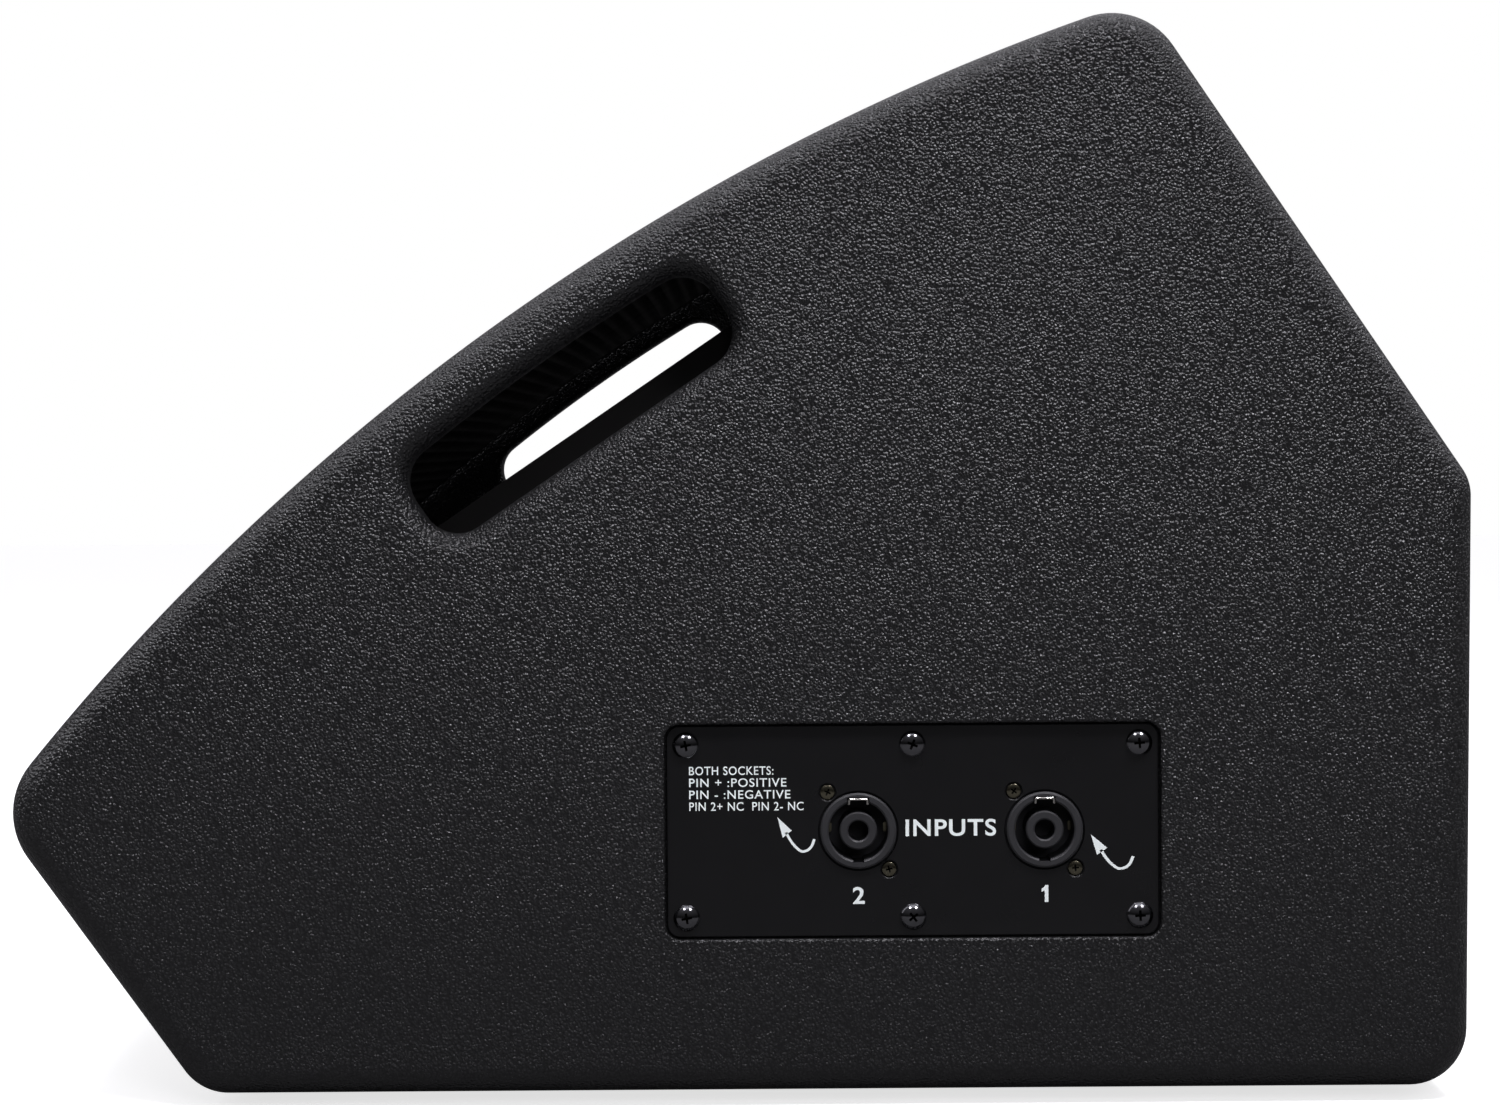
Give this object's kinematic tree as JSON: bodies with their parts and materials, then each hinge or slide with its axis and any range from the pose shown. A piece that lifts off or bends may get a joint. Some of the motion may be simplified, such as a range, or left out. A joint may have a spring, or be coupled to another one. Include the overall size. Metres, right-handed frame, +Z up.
{
  "type": "stage monitor wedge",
  "caption": "Low wedge-shaped stage loudspeaker with a curved perforated grille, handle slots through both sides, a recessed input plate, a woofer and a horn.",
  "frame": {"origin": "centre of the box's footprint, on the floor", "axes": "+X across the width towards the side with the input plate, +Y towards the rear, +Z up; the grille faces -Y and up"},
  "size_m": [0.58, 0.4542, 0.3381],
  "materials": {
    "coating": "plywood under a thick black textured coating, fine pebbled grain",
    "plywood": "bare birch plywood",
    "rubber": "black moulded rubber",
    "grille_steel": "black powder-coated perforated steel",
    "screw_black": "glossy black-oxide steel",
    "plate_black": "smooth satin black paint",
    "socket_plastic": "black moulded nylon",
    "screw_dull": "dull bronze-black plated steel",
    "board": "green circuit board",
    "copper": "enamelled copper winding",
    "capacitor": "film capacitor sleeve",
    "ceramic": "cast ceramic",
    "frame_metal": "black painted pressed steel",
    "magnet": "sintered ferrite",
    "zinc": "zinc-plated steel",
    "cone_paper": "black pressed paper",
    "cloth": "doped pleated cloth",
    "coil_former": "wound voice-coil former",
    "horn_plastic": "black moulded plastic",
    "diaphragm": "thin formed metal dome",
    "wire": "insulated cable"
  },
  "bodies": {
    "cabinet": {"side_panel_left": "coating", "side_panel_right": "coating", "bottom_panel": "coating", "back_panel": "coating", "rear_top_panel": "coating", "front_kick_panel": "coating", "front_rail": "coating", "top_rail": "coating", "baffle": "coating", "brace": "plywood", "foot_front_left": "rubber", "foot_front_right": "rubber", "foot_rear_left": "rubber", "foot_rear_right": "rubber", "grille": "grille_steel", "grille_screw_nose_left": "screw_black", "grille_screw_nose_right": "screw_black", "grille_screw_top_left": "screw_black", "grille_screw_top_right": "screw_black", "plate_screw_1": "screw_black", "plate_screw_2": "screw_black", "plate_screw_3": "screw_black", "plate_screw_4": "screw_black", "plate_screw_5": "screw_black", "plate_screw_6": "screw_black", "woofer_bolt_1": "screw_black", "woofer_bolt_2": "screw_black", "woofer_bolt_3": "screw_black", "woofer_bolt_4": "screw_black", "input_plate": "plate_black", "speaker_socket_1": "socket_plastic", "speaker_socket_2": "socket_plastic", "socket_screw_1": "screw_dull", "socket_screw_2": "screw_dull", "socket_screw_3": "screw_dull", "socket_screw_4": "screw_dull", "crossover_board": "board", "inductor_1": "copper", "inductor_2": "copper", "capacitor_1": "capacitor", "capacitor_2": "capacitor", "resistor": "ceramic", "woofer_frame": "frame_metal", "driver_body": "frame_metal", "woofer_magnet": "magnet", "woofer_top_plate": "zinc", "woofer_yoke": "zinc", "woofer_surround": "cloth", "woofer_spider": "cloth", "horn": "horn_plastic", "driver_cover": "horn_plastic", "port_tube_1": "horn_plastic", "port_tube_2": "horn_plastic", "input_wire": "wire", "woofer_wire": "wire", "horn_wire": "wire"},
    "cone_assembly": {"woofer_cone": "cone_paper", "voice_coil_former": "coil_former", "woofer_dust_cap": "cone_paper"},
    "diaphragm": {"hf_diaphragm": "diaphragm"}
  },
  "joints": [
    {"name": "woofer_excursion", "type": "slide", "parent": "cabinet", "child": "cone_assembly", "axis": [0, -0.5606, 0.8281], "range_m": [-0.005, 0.005], "stiffness_N_per_m": 4000, "deforming": ["woofer_surround", "woofer_spider"]},
    {"name": "diaphragm_excursion", "type": "slide", "parent": "cabinet", "child": "diaphragm", "axis": [0, -0.5606, 0.8281], "range_m": [-0.0003, 0.0003], "stiffness_N_per_m": 5000}
  ]
}
